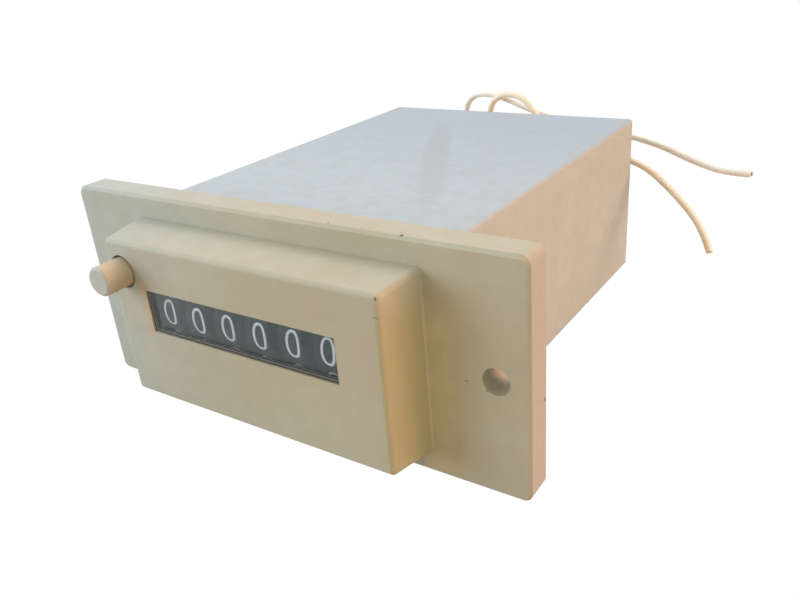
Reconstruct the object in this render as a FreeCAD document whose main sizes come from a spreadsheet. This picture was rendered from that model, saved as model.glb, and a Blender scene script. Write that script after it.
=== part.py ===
"""Cable length counter: a six-digit electromechanical impulse counter for panel mounting.

Millimetres. X runs to the right as seen from the front, Y into the panel, Z up. The origin is the
centre of the flange's rear face, midway between the two screw holes.
"""
import FreeCAD, Part
import Sketcher
import math
import os
import re

V = FreeCAD.Vector

# Driving dimensions. Angles are in degrees, counts are whole numbers, all else is in millimetres.
SIZES = {
    # Front bezel
    "flange_width": 71.0,
    "flange_height": 30.2,
    "flange_thickness": 4.0,
    "flange_corner": 1.2,
    "flange_edge": 0.4,
    "box_depth": 7.0,
    "box_width": 45.9,
    "box_height": 24.0,
    "box_side_draft": 1.0,
    "box_top_draft": 0.6,
    "box_edge": 0.7,
    "front_wall": 1.2,
    "well_gap": 0.2,
    "cavity_width": 41.2,
    "cavity_height": 20.4,
    "window_width": 31.0,
    "window_height": 6.0,
    "window_rise": 2.1,
    "rebate_margin": 1.0,
    "rebate_depth": 0.5,
    "spigot_length": 5.0,
    "housing_seat_depth": 0.5,
    "housing_seat_gap": 0.1,
    "screw_inset": 4.0,
    "screw_hole": 3.4,
    "boss_width": 3.4,
    "boss_height": 4.4,
    "boss_drop": 7.2,
    "boss_proud": 1.0,
    # Rear housing
    "housing_width": 47.6,
    "housing_height": 26.4,
    "housing_depth": 62.5,
    "housing_wall": 1.5,
    "housing_edge": 0.6,
    "housing_rear_edge": 0.5,
    "spigot_gap": 0.1,
    "post_width": 5.4,
    "post_length": 2.9,
    "counterbore_depth": 1.8,
    # Window lens
    "lens_gap": 0.1,
    "lens_recess": 0.2,
    # Number wheels
    "wheel_count": 6,
    "wheel_pitch": 5.25,
    "wheel_rise": 2.0,
    "wheel_front_gap": 0.2,
    "rim_radius": 7.6,
    "rim_width": 3.55,
    "driver_width": 0.4,
    "gear_width": 0.6,
    "heart_width": 0.45,
    "heart_tip": 4.2,
    "heart_notch": 2.5,
    "hub_radius": 2.4,
    "stack_gap": 0.25,
    "lock_radius": 5.2,
    "carry_tip": 6.3,
    "carry_lead": 18.0,
    # Gear teeth
    "tooth_module": 0.6,
    "tooth_addendum": 0.5,
    "tooth_dedendum": 0.7,
    "tooth_root_width": 0.84,
    "tooth_tip_width": 0.36,
    "gear_teeth": 20,
    "pinion_teeth": 8,
    "pinion_angle": -50.0,
    "pinion_side_gap": 0.1,
    # Star wheel on the units wheel
    "star_points": 10,
    "star_tip": 5.5,
    "star_root": 4.3,
    # Shafts and their push-on clips
    "wheel_shaft_radius": 1.5,
    "pinion_shaft_radius": 0.5,
    "reset_shaft_radius": 0.9,
    "running_gap": 0.05,
    "shaft_end": 0.9,
    "clip_thickness": 0.4,
    "clip_width": 0.8,
    "clip_side_gap": 0.1,
    "washer_side_gap": 0.1,
    # Side plates
    "plate_thickness": 0.8,
    "plate_front": -7.0,
    "post_gap": 0.1,
    "plate_half_height": 9.6,
    "plate_shoulder": 11.2,
    "plate_shoulder_front": 7.0,
    "plate_shoulder_rear": 20.0,
    "plate_slope": 2.0,
    "plate_tail_top": 6.0,
    "plate_tail_bottom": -8.5,
    "foot_end_gap": 0.2,
    "foot_margin": 2.3,
    "tab_width": 6.6,
    "tab_height": 4.6,
    "tab_drop": 6.2,
    # Small screws, all of one size
    "thread_radius": 0.8,
    "screw_length": 5.0,
    "screw_head_radius": 1.6,
    "screw_head_height": 1.0,
    "screw_hole_gap": 0.1,
    "slot_width": 0.4,
    "slot_depth": 0.45,
    # Crossbars between the plates, staked in slots by their tenons
    "bar_thickness": 1.6,
    "bar_height": 3.2,
    "tenon_height": 2.2,
    "tenon_gap": 0.05,
    "upper_bar_depth": 17.2,
    "upper_bar_rise": 7.4,
    "lower_bar_depth": 9.0,
    "lower_bar_drop": 9.0,
    # Reset button and its spring
    "button_offset": 19.3,
    "button_rise": 7.1,
    "button_radius": 2.0,
    "button_hole_gap": 0.3,
    "button_proud": 3.9,
    "button_travel": 2.5,
    "button_end_edge": 0.3,
    "collar_half_height": 2.8,
    "collar_thickness": 1.0,
    "collar_gap": 0.15,
    "stem_radius": 1.2,
    "tail_thickness": 1.2,
    "tail_front": 3.4,
    "tail_depth": 2.0,
    "tail_wall": 1.0,
    "spring_tab_depth": 0.2,
    "spring_tab_thickness": 0.8,
    "spring_tab_half": 2.6,
    "spring_slot_gap": 0.15,
    "spring_wire": 0.3,
    "spring_gap": 0.25,
    "spring_end_gap": 0.1,
    # Reset lever, shaft and comb
    "reset_setback": 12.5,
    "reset_lift": 7.2,
    "comb_swing": 10.6,
    "lever_hub_radius": 1.9,
    "lever_end_radius": 0.8,
    "lever_width": 1.3,
    "lever_slot_gap": 0.15,
    "comb_hub_radius": 1.5,
    "comb_end_gap": 0.1,
    "hammer_thickness": 0.4,
    "hammer_gap": 0.15,
    "hammer_depth": 1.1,
    "hammer_overhang": 0.7,
    # Electromagnet
    "coil_offset": 3.0,
    "coil_rise": 0.5,
    "core_radius": 3.5,
    "core_front": 20.6,
    "bobbin_front": 21.4,
    "bobbin_end_gap": 0.3,
    "bobbin_flange": 1.0,
    "bobbin_half": 8.6,
    "bobbin_wall": 0.8,
    "bobbin_gap": 0.1,
    "winding_margin": 0.4,
    "block_size": 5.0,
    "block_depth": 1.8,
    "pin_width": 0.7,
    "pin_length": 4.0,
    "pin_gap": 0.2,
    "inner_lead_run": 2.6,
    # Yoke
    "yoke_thickness": 1.5,
    "yoke_half_width": 7.0,
    "yoke_setback": 7.5,
    "yoke_bottom": -10.8,
    "yoke_top": 6.0,
    "yoke_front": 20.5,
    "wing_height": 4.4,
    "ear_thickness": 1.0,
    "ear_gap": 0.2,
    "ear_radius": 1.7,
    # Armature
    "hinge_depth": 18.9,
    "hinge_drop": 9.2,
    "hinge_pin_radius": 0.6,
    "knuckle_radius": 1.3,
    "armature_thickness": 1.4,
    "armature_top": 8.2,
    "armature_swing": 4.0,
    "arm_low": 0.4,
    "arm_high": 3.6,
    "arm_gap": 0.1,
    "claw_depth": 6.4,
    "claw_back": 2.2,
    "pallet_gap": 0.25,
    "pallet_thickness": 0.8,
    "upper_pallet_angle": 40.0,
    "lower_pallet_angle": -51.0,
    "lower_pallet_clear": 0.7,
    "lug_reach": 2.3,
    "lug_width": 1.6,
    "lug_thickness": 0.8,
    "armature_spring_radius": 1.2,
    # Leads and their grommet
    "lead_diameter": 1.1,
    "lead_spacing": 2.6,
    "grommet_offset": -8.5,
    "grommet_rise": 4.0,
    "grommet_hole_radius": 2.8,
    "grommet_lip": 0.9,
    "grommet_lip_edge": 0.3,
    "grommet_lip_thickness": 0.6,
    "grommet_gap": 0.05,
    # One overrun for every cut that runs past a face
    "overrun": 0.5,
}

# Places worked out from the sizes, each a formula in a second sheet.
PLACES = {
    "screw_spacing": "flange_width - 2 * screw_inset",
    "housing_front": "-housing_seat_depth",
    "box_front": "-(flange_thickness + box_depth)",
    "box_inside": "box_front + front_wall",
    "cavity_side": "cavity_width / 2",
    "spigot_width": "housing_width - 2 * housing_wall - 2 * spigot_gap",
    "spigot_height": "housing_height - 2 * housing_wall - 2 * spigot_gap",
    "housing_inside": "housing_depth - housing_wall",
    "plate_rear": "housing_inside - post_length - post_gap",
    "lens_front": "box_front + lens_recess",
    "rebate_front": "box_inside - rebate_depth",
    "wheel_depth": "box_inside + wheel_front_gap + rim_radius",
    "units_offset": "(wheel_count - 1) / 2 * wheel_pitch",
    "rim_side": "rim_width / 2",
    "driver_left": "-(rim_side + driver_width)",
    "gear_right": "rim_side + gear_width",
    "heart_right": "gear_right + heart_width",
    "plate_inner": "units_offset + heart_right + stack_gap",
    "plate_outer": "plate_inner + plate_thickness",
    "gear_pitch_radius": "tooth_module * gear_teeth / 2",
    "pinion_pitch_radius": "tooth_module * pinion_teeth / 2",
    "mesh_distance": "gear_pitch_radius + pinion_pitch_radius",
    "gear_tip": "gear_pitch_radius + tooth_addendum",
    "gear_root": "gear_pitch_radius - tooth_dedendum",
    "pinion_tip": "pinion_pitch_radius + tooth_addendum",
    "pinion_root": "pinion_pitch_radius - tooth_dedendum",
    "pinion_depth": "wheel_depth + mesh_distance * cos(pinion_angle * 1deg)",
    "pinion_rise": "wheel_rise + mesh_distance * sin(pinion_angle * 1deg)",
    "gear_step": "360 / gear_teeth",
    "pinion_step_angle": "360 / pinion_teeth",
    "pinion_turn": "carry_lead * gear_teeth / 10 / pinion_teeth",
    "gear_turn": "pinion_turn * pinion_teeth / gear_teeth",
    "pinion_left": "rim_side + pinion_side_gap",
    "pinion_step": "gear_right + pinion_side_gap",
    "pinion_right": "wheel_pitch - rim_side - pinion_side_gap",
    "shaft_side": "plate_outer + shaft_end",
    "boss_side": "cavity_side - boss_width",
    "foot_side": "cavity_side - foot_end_gap",
    "foot_screw": "(plate_outer + foot_side) / 2",
    "foot_rear": "boss_proud + plate_thickness",
    "tab_inner": "plate_inner - tab_width",
    "tab_screw": "plate_inner - tab_width / 2",
    "tab_front": "plate_rear - plate_thickness",
    "thread_hole": "thread_radius + screw_hole_gap",
    "button_front": "box_front - button_proud",
    "collar_front": "box_inside + collar_gap",
    "collar_rear": "collar_front + collar_thickness",
    "collar_left": "-cavity_side + foot_end_gap",
    "collar_right": "-plate_outer - foot_end_gap",
    "spring_tab_rear": "-spring_tab_depth",
    "spring_tab_front": "spring_tab_rear - spring_tab_thickness",
    "spring_inner": "stem_radius + spring_gap",
    "spring_outer": "spring_inner + spring_wire",
    "reset_depth": "wheel_depth + reset_setback",
    "reset_rise": "wheel_rise + reset_lift",
    "lever_length": "button_travel / 2 / sin(comb_swing / 2 * 1deg)",
    "lever_end_depth": "reset_depth - button_travel / 2",
    "lever_end_rise": "reset_rise - lever_length * cos(comb_swing / 2 * 1deg)",
    "slot_half": "lever_end_radius + lever_slot_gap",
    "tail_rear": "tail_front + tail_depth",
    "slot_floor": "lever_end_rise - slot_half",
    "foot_floor": "slot_floor - tail_wall",
    "foot_top": "lever_end_rise + slot_half",
    "foot_back": "lever_end_depth + slot_half + tail_wall",
    "struck_rise": "heart_tip + hammer_gap - reset_lift",
    "hammer_y": "-reset_setback * cos(comb_swing * 1deg) + struck_rise * sin(comb_swing * 1deg)",
    "hammer_z": "reset_setback * sin(comb_swing * 1deg) + struck_rise * cos(comb_swing * 1deg)",
    "hammer_centre": "(gear_right + wheel_pitch - rim_side - driver_width) / 2",
    "yoke_rear": "plate_rear - yoke_setback",
    "yoke_inside": "yoke_rear - yoke_thickness",
    "bobbin_rear": "yoke_inside - bobbin_end_gap",
    "yoke_floor": "yoke_bottom + yoke_thickness",
    "yoke_left": "coil_offset - yoke_half_width",
    "yoke_right": "coil_offset + yoke_half_width",
    "winding_radius": "bobbin_half - winding_margin",
    "tube_inner": "core_radius + bobbin_gap",
    "tube_outer": "tube_inner + bobbin_wall",
    "hinge_rise": "-hinge_drop",
    "armature_front": "hinge_depth - armature_thickness / 2",
    "armature_rear": "hinge_depth + armature_thickness / 2",
    "arm_left": "units_offset + rim_side + arm_gap",
    "arm_right": "units_offset + gear_right - arm_gap",
    "upper_pallet_y": "wheel_depth + (star_tip + pallet_gap) * cos(upper_pallet_angle * 1deg)",
    "upper_pallet_z": "wheel_rise + (star_tip + pallet_gap) * sin(upper_pallet_angle * 1deg)",
    "lower_pallet_y": "wheel_depth + (star_tip + lower_pallet_clear) * cos(lower_pallet_angle * 1deg)",
    "lower_pallet_z": "wheel_rise + (star_tip + lower_pallet_clear) * sin(lower_pallet_angle * 1deg)",
    "claw_front": "claw_depth - claw_back",
    "lead_radius": "lead_diameter / 2",
    "grommet_back": "housing_depth + grommet_lip_thickness",
}

doc = FreeCAD.newDocument("cable_length_counter")


def make_sheet(name, cells, as_text):
    """A spreadsheet with a word and a value on each row."""
    sheet = doc.addObject("Spreadsheet::Sheet", name)
    for row, (alias, content) in enumerate(cells.items(), start=1):
        sheet.set("A%d" % row, alias)
        sheet.set("B%d" % row, as_text(content))
        sheet.setAlias("B%d" % row, alias)
    return sheet


def bind(text):
    """The expression with every size and place written with the name of its sheet."""
    def owner(match):
        word = match.group(0)
        if word in SIZES:
            return "Sizes." + word
        if word in PLACES:
            return "Places." + word
        return word
    return re.sub(r"[a-z][a-z_]+", owner, text)


sizes = make_sheet("Sizes", SIZES, str)
places = make_sheet("Places", PLACES, lambda formula: "=" + bind(formula))
doc.recompute()


def value(name):
    """A size or a place as a plain number."""
    return float(getattr(sizes if name in SIZES else places, name))


def rect(left, right, low, high):
    """Corners of a rectangle."""
    return [(left, low), (right, low), (right, high), (left, high)]


def centred(width, height, rise="0"):
    """A rectangle centred on the sketch's vertical axis."""
    half, tall = "(%s) / 2" % width, "(%s) / 2" % height
    return rect("-" + half, half, "%s - %s" % (rise, tall), "%s + %s" % (rise, tall))


def disc(across, up, radius):
    """A circle."""
    return (across, up, radius)


def polygon(across, up, flat_radius, count, turn="0"):
    """Corners of a regular polygon whose flats lie at a radius from its centre."""
    corner = "(%s) / cos(180deg / %d)" % (flat_radius, count)
    return [polar(corner, "%s + %d * 360 / %d" % (turn, step, count), across, up) for step in range(count)]


BORE_SIDES = 12


def bore(across, up, radius):
    """A small hole with many flats, each clear of a round shaft by the same gap."""
    return polygon(across, up, radius, BORE_SIDES)


def polar(radius, angle, across="0", up="0"):
    """A point at a radius and an angle in degrees from a centre."""
    return ("%s + (%s) * cos((%s) * 1deg)" % (across, radius, angle),
            "%s + (%s) * sin((%s) * 1deg)" % (up, radius, angle))


def new_body(label):
    body = doc.addObject("PartDesign::Body", label)
    body.Label = label
    return body


def origin_feature(body, role):
    return next(feature for feature in body.Origin.OriginFeatures if feature.Role == role)


def pin_point(sketch, geometry, point, across, up):
    """Ties one point of a sketch to two expressions."""
    for kind, text in (("DistanceX", across), ("DistanceY", up)):
        distance = float(sketch.evalExpression(bind(text)))
        number = sketch.addConstraint(Sketcher.Constraint(kind, -1, 1, geometry, point, distance))
        sketch.setExpression("Constraints[%d]" % number, bind(text))


def draw_circle(sketch, across, up, radius):
    middle = V(*(float(sketch.evalExpression(bind(text))) for text in (across, up, "0")))
    size = float(sketch.evalExpression(bind(radius)))
    circle = sketch.addGeometry(Part.Circle(middle, V(0, 0, 1), size))
    number = sketch.addConstraint(Sketcher.Constraint("Radius", circle, size))
    sketch.setExpression("Constraints[%d]" % number, bind(radius))
    pin_point(sketch, circle, 3, across, up)


def draw_outline(sketch, corners):
    points = [V(*(float(sketch.evalExpression(bind(text))) for text in pair), 0) for pair in corners]
    count = len(points)
    lines = [sketch.addGeometry(Part.LineSegment(points[i], points[(i + 1) % count])) for i in range(count)]
    for i in range(count):
        sketch.addConstraint(Sketcher.Constraint("Coincident", lines[i], 2, lines[(i + 1) % count], 1))
    for line, (across, up) in zip(lines, corners):
        pin_point(sketch, line, 1, across, up)


def sketch_at(body, name, plane, offset, shapes, turn=None):
    """A sketch on one of the body's own planes, moved along the plane's normal."""
    sketch = body.newObject("Sketcher::SketchObject", name + "_sketch")
    sketch.AttachmentSupport = [(origin_feature(body, plane + "_Plane"), "")]
    sketch.MapMode = "FlatFace"
    sketch.setExpression("AttachmentOffset.Base.z", bind(offset))
    if turn is not None:
        sketch.setExpression("AttachmentOffset.Rotation.Angle", bind("(%s) * 1deg" % turn))
    for shape in shapes:
        if isinstance(shape, tuple):
            draw_circle(sketch, *shape)
        else:
            draw_outline(sketch, shape)
    return sketch


def extrude(kind, body, name, plane, low, high, shapes, turn=None):
    """A pad or a pocket between two places on the axis that the plane faces.

    The XZ plane faces -Y, so its sketch sits on the high side and runs towards -Y.
    """
    offset = "-(%s)" % high if plane == "XZ" else low
    sketch = sketch_at(body, name, plane, offset, shapes, turn)
    feature = body.newObject("PartDesign::" + kind, name)
    feature.Profile = sketch
    feature.setExpression("Length", bind("(%s) - (%s)" % (high, low)))
    feature.Reversed = kind == "Pocket"
    sketch.Visibility = False
    return feature


def pad(body, name, plane, low, high, shapes, turn=None):
    return extrude("Pad", body, name, plane, low, high, shapes, turn)


def pocket(body, name, plane, low, high, shapes, turn=None):
    """A cut, which has to take some of the material away and leave a sound solid."""
    doc.recompute()
    before = body.Shape.Volume
    feature = extrude("Pocket", body, name, plane, low, high, shapes, turn)
    doc.recompute()
    if not body.Shape.isValid() or not 0 < body.Shape.Volume < before:
        raise RuntimeError("%s of %s doesn't cut as it should" % (name, body.Label))
    return feature


def wedge(body, name, low, high, front, rear):
    """A block from front to rear whose ends are two centred rectangles, each a width and a height."""
    feature = body.newObject("PartDesign::AdditiveWedge", name)
    spans = {"Ymin": low, "Ymax": high}
    for (width, height), mark in ((front, ""), (rear, "2")):
        spans["X%smin" % mark], spans["X%smax" % mark] = "-(%s) / 2" % width, "(%s) / 2" % width
        spans["Z%smin" % mark], spans["Z%smax" % mark] = "-(%s) / 2" % height, "(%s) / 2" % height
    for side, text in spans.items():
        feature.setExpression(side, bind(text))
    return feature


def copies_round_x(body, name, originals, count):
    """Copies of features, spread evenly round the body's own X axis."""
    pattern = body.newObject("PartDesign::PolarPattern", name)
    pattern.Originals = originals
    pattern.Axis = (origin_feature(body, "X_Axis"), [""])
    pattern.Angle = 360
    pattern.setExpression("Occurrences", bind(count))
    body.Tip = pattern
    return pattern


def dress_edges(kind, size, body, name, amount, wanted):
    doc.recompute()
    base = body.Tip
    edges = ["Edge%d" % number for number, edge in enumerate(base.Shape.Edges, start=1) if wanted(edge)]
    dressed = body.newObject("PartDesign::" + kind, name)
    dressed.Base = (base, edges)
    dressed.setExpression(size, bind(amount))
    return dressed


def round_edges(body, name, radius, wanted):
    """A fillet on the edges of the body that the test picks."""
    return dress_edges("Fillet", "Radius", body, name, radius, wanted)


def bevel_edges(body, name, width, wanted):
    """A chamfer on the edges of the body that the test picks."""
    return dress_edges("Chamfer", "Size", body, name, width, wanted)


def place(body, across, depth, rise):
    """Sets where a body's own origin lies."""
    for axis, text in (("x", across), ("y", depth), ("z", rise)):
        body.setExpression("Placement.Base." + axis, bind(text))


def near(first, second):
    return abs(first - second) < 0.001 * value("flange_thickness")


def is_straight(edge):
    return isinstance(edge.Curve, Part.Line)


def runs_along_y(edge):
    """True of a straight edge that runs mostly from front to rear."""
    return is_straight(edge) and abs(edge.tangentAt(edge.FirstParameter).y) > 0.9


def all_at_depth(edge, depth):
    return all(near(vertex.Y, depth) for vertex in edge.Vertexes)


def sides(low, high):
    """The same span on the left and on the right."""
    return (("-(%s)" % high, "-(%s)" % low), (low, high))


def front_bezel():
    """Flange, raised box, spigot and inner bosses, one moulding."""
    body = new_body("front_bezel")
    pad(body, "flange", "XZ", "-flange_thickness", "0", [centred("flange_width", "flange_height")])
    round_edges(body, "flange_corners", "flange_corner", runs_along_y)
    bevel_edges(body, "flange_rim", "flange_edge",
                lambda edge: all_at_depth(edge, -value("flange_thickness")))
    wedge(body, "raised_box", "box_front", "-flange_thickness",
          ("box_width - 2 * box_side_draft", "box_height - 2 * box_top_draft"), ("box_width", "box_height"))
    reach = value("flange_thickness") + value("flange_edge")
    round_edges(body, "box_edges", "box_edge",
                lambda edge: min(vertex.Y for vertex in edge.Vertexes) < -reach)
    pocket(body, "housing_seat", "XZ", "housing_front", "overrun",
           [centred("housing_width + 2 * housing_seat_gap", "housing_height + 2 * housing_seat_gap")])
    pad(body, "spigot", "XZ", "housing_front", "spigot_length", [centred("spigot_width", "spigot_height")])
    pocket(body, "cavity", "XZ", "box_inside", "spigot_length + overrun",
           [centred("cavity_width", "cavity_height")])
    pad(body, "bosses", "XZ", "box_inside", "boss_proud",
        [rect(low, high, "-boss_drop - boss_height / 2", "-boss_drop + boss_height / 2")
         for low, high in sides("boss_side", "cavity_side + overrun")])
    pocket(body, "boss_holes", "XZ", "foot_rear - screw_length - overrun", "boss_proud + overrun",
           [polygon(side + "foot_screw", "-boss_drop", "thread_hole", 6) for side in ("-", "")])
    pocket(body, "window", "XZ", "box_front - overrun", "box_inside + overrun",
           [centred("window_width", "window_height", "window_rise")])
    pocket(body, "window_rebate", "XZ", "rebate_front", "box_inside + overrun",
           [centred("window_width + 2 * rebate_margin", "window_height + 2 * rebate_margin", "window_rise")])
    pocket(body, "button_hole", "XZ", "box_front - overrun", "box_inside + button_travel + overrun",
           [disc("-button_offset", "button_rise", "button_radius + button_hole_gap")])
    pocket(body, "spring_well", "XZ", "box_inside", "spigot_length + overrun",
           [bore("-button_offset", "button_rise", "spring_outer + well_gap")])
    pocket(body, "screw_holes", "XZ", "-flange_thickness - overrun", "overrun",
           [disc(side + "screw_spacing / 2", "0", "screw_hole / 2") for side in ("-", "")])
    return body


def rear_housing():
    """Five-sided box that slides over the spigot and stands in the flange's seat groove."""
    body = new_body("rear_housing")
    pad(body, "shell", "XZ", "housing_front", "housing_depth", [centred("housing_width", "housing_height")])
    round_edges(body, "long_edges", "housing_edge", runs_along_y)
    bevel_edges(body, "rear_edges", "housing_rear_edge",
                lambda edge: all_at_depth(edge, value("housing_depth")))
    pocket(body, "inside", "XZ", "housing_front - overrun", "housing_inside",
           [centred("housing_width - 2 * housing_wall", "housing_height - 2 * housing_wall")])
    screws = [side + "tab_screw" for side in ("-", "")]
    pad(body, "posts", "XZ", "housing_inside - post_length", "housing_inside + housing_wall / 2",
        [rect(across + " - post_width / 2", across + " + post_width / 2",
              "-tab_drop - post_width / 2", "-tab_drop + post_width / 2") for across in screws])
    pocket(body, "screw_ways", "XZ", "housing_inside - post_length - overrun", "housing_depth + overrun",
           [polygon(across, "-tab_drop", "thread_hole", 6) for across in screws])
    pocket(body, "counterbores", "XZ", "housing_depth - counterbore_depth", "housing_depth + overrun",
           [disc(across, "-tab_drop", "screw_head_radius + screw_hole_gap") for across in screws])
    pocket(body, "grommet_hole", "XZ", "housing_inside - overrun", "housing_depth + overrun",
           [disc("grommet_offset", "grommet_rise", "grommet_hole_radius")])
    return body


def window_lens():
    """Clear strip with a flange that lies in the rebate behind the window."""
    body = new_body("window_lens")
    pad(body, "plug", "XZ", "lens_front", "rebate_front + overrun / 2",
        [centred("window_width - 2 * lens_gap", "window_height - 2 * lens_gap", "window_rise")])
    margin = "2 * rebate_margin - 2 * lens_gap"
    pad(body, "flange", "XZ", "rebate_front + lens_gap", "box_inside - lens_gap",
        [centred("window_width + " + margin, "window_height + " + margin, "window_rise")])
    return body


def tooth(root, tip, base_width="tooth_root_width", tip_width="tooth_tip_width"):
    """A straight-flanked tooth that points along the sketch's first axis."""
    inner, outer = "(%s) - overrun / 2" % root, tip
    return [(inner, "-%s / 2" % base_width), (outer, "-%s / 2" % tip_width),
            (outer, "%s / 2" % tip_width), (inner, "%s / 2" % base_width)]


HEART_STEPS = 16


def heart_outline():
    """The heart cam: its radius grows evenly from the notch, which faces up, to the far side."""
    corners = []
    for step in range(HEART_STEPS):
        share = 1 - abs(1 - 2 * step / HEART_STEPS)
        radius = "heart_notch + %.4f * (heart_tip - heart_notch)" % share
        corners.append(polar(radius, "%.2f" % (90 + 360 * step / HEART_STEPS)))
    return corners


def number_wheel(order):
    """One moulded wheel: digit rim, carry driver on the left, gear and heart cam on the right.

    Order 0 is the units wheel, whose gear place is left to the star wheel.
    """
    names = ("units", "tens", "hundreds", "thousands", "ten_thousands", "hundred_thousands")
    body = new_body("number_wheel_" + names[order])
    pad(body, "rim", "YZ", "-rim_side", "rim_side", [disc("0", "0", "rim_radius")])
    pad(body, "driver", "YZ", "driver_left", "-rim_side + overrun",
        [polygon("0", "0", "lock_radius * cos(180deg / gear_teeth)", SIZES["gear_teeth"])])
    for number, step in enumerate(("-gear_step / 2", "gear_step / 2"), start=1):
        pad(body, "carry_tooth_%d" % number, "YZ", "driver_left", "-rim_side + overrun / 2",
            [tooth("lock_radius", "carry_tip")], "pinion_angle + carry_lead + %s" % step)
    if order > 0:
        pad(body, "gear_root", "YZ", "rim_side - overrun", "gear_right",
            [polygon("0", "0", "gear_root", SIZES["gear_teeth"])], "pinion_angle + gear_turn + gear_step / 2")
        gear_tooth = pad(body, "gear_tooth", "YZ", "rim_side", "gear_right", [tooth("gear_root", "gear_tip")],
                         "pinion_angle + gear_turn + gear_step / 2")
        copies_round_x(body, "gear_teeth", [gear_tooth], "gear_teeth")
        pad(body, "heart_cam", "YZ", "gear_right - overrun", "heart_right", [heart_outline()])
    else:
        pad(body, "hub", "YZ", "rim_side - overrun", "heart_right", [bore("0", "0", "hub_radius")])
    pocket(body, "bore", "YZ", "driver_left - overrun", "heart_right + overrun",
           [bore("0", "0", "wheel_shaft_radius + running_gap")])
    place(body, "units_offset - %d * wheel_pitch" % order, "wheel_depth", "wheel_rise")
    return body


def star_wheel():
    """Ten-point star that the pallets step, with the units wheel's heart cam, on that wheel's hub."""
    body = new_body("star_wheel")
    points = []
    for step in range(2 * SIZES["star_points"]):
        radius = "star_root" if step % 2 else "star_tip"
        points.append(polar(radius, "%d * 180 / star_points" % step))
    pad(body, "star", "YZ", "rim_side", "gear_right", [points])
    pad(body, "heart_cam", "YZ", "gear_right - overrun", "heart_right", [heart_outline()])
    pocket(body, "bore", "YZ", "rim_side - overrun", "heart_right + overrun",
           [bore("0", "0", "hub_radius + running_gap")])
    place(body, "units_offset", "wheel_depth", "wheel_rise")
    return body


def transfer_pinion(order):
    """Carries from the wheel on its right to wheel ORDER: every second tooth reaches the driver."""
    body = new_body("transfer_pinion_%d" % order)
    phase = "pinion_angle + 180 - pinion_turn"
    pad(body, "root", "YZ", "pinion_left", "pinion_right",
        [polygon("0", "0", "pinion_root", SIZES["pinion_teeth"])], phase)
    long_tooth = pad(body, "long_tooth", "YZ", "pinion_left", "pinion_right",
                     [tooth("pinion_root", "pinion_tip")], phase + " + pinion_step_angle")
    copies_round_x(body, "long_teeth", [long_tooth], "pinion_teeth / 2")
    short_tooth = pad(body, "short_tooth", "YZ", "pinion_left", "pinion_step",
                      [tooth("pinion_root", "pinion_tip")], phase)
    copies_round_x(body, "short_teeth", [short_tooth], "pinion_teeth / 2")
    pocket(body, "bore", "YZ", "pinion_left - overrun", "pinion_right + overrun",
           [bore("0", "0", "pinion_shaft_radius + running_gap")])
    place(body, "units_offset - %d * wheel_pitch" % order, "pinion_depth", "pinion_rise")
    return body


def shaft(label, radius, depth, rise, left_end):
    """A plain steel shaft."""
    body = new_body(label)
    pad(body, "rod", "YZ", left_end, "shaft_side", [disc("0", "0", radius)])
    place(body, "0", depth, rise)
    return body


def shaft_clip(side, radius, depth, rise):
    """A push-on clip: a square plate whose lances leave a six-sided hole round the shaft."""
    body = new_body("clip")
    half = "%s + clip_width" % radius
    pad(body, "plate", "YZ", "-clip_thickness / 2", "clip_thickness / 2",
        [centred("2 * (%s)" % half, "2 * (%s)" % half), polygon("0", "0", radius + " + running_gap", 6)])
    place(body, "%s(plate_outer + clip_side_gap + clip_thickness / 2)" % side, depth, rise)
    return body


def group(label, bodies):
    """Separate solids of one kind under one name."""
    compound = doc.addObject("Part::Compound", label)
    compound.Label = label
    compound.Links = bodies
    return compound


def shaft_clips():
    wheel = ("wheel_shaft_radius", "wheel_depth", "wheel_rise")
    pinion = ("pinion_shaft_radius", "pinion_depth", "pinion_rise")
    reset = ("reset_shaft_radius", "reset_depth", "reset_rise")
    seats = (("-", wheel), ("", wheel), ("-", pinion), ("", pinion), ("", reset))
    return group("shaft_clips", [shaft_clip(side, *seat) for side, seat in seats])


def spacer_washer():
    """Takes up the space between the left plate and the last wheel."""
    body = new_body("spacer_washer")
    low, high = "-plate_inner + washer_side_gap", "driver_left - units_offset - washer_side_gap"
    pad(body, "ring", "YZ", low, high,
        [bore("0", "0", "hub_radius"), bore("0", "0", "wheel_shaft_radius + running_gap")])
    place(body, "0", "wheel_depth", "wheel_rise")
    return body


BARS = (("upper_bar_depth", "upper_bar_rise"), ("lower_bar_depth", "-lower_bar_drop"))
TENONS = BARS + (("yoke_rear - yoke_thickness / 2", "-tab_drop"),)


def upright_rect(depth, rise, thickness, height):
    """A rectangle round a place, as seen along X."""
    return rect("%s - (%s) / 2" % (depth, thickness), "%s + (%s) / 2" % (depth, thickness),
                "%s - (%s) / 2" % (rise, height), "%s + (%s) / 2" % (rise, height))


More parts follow.
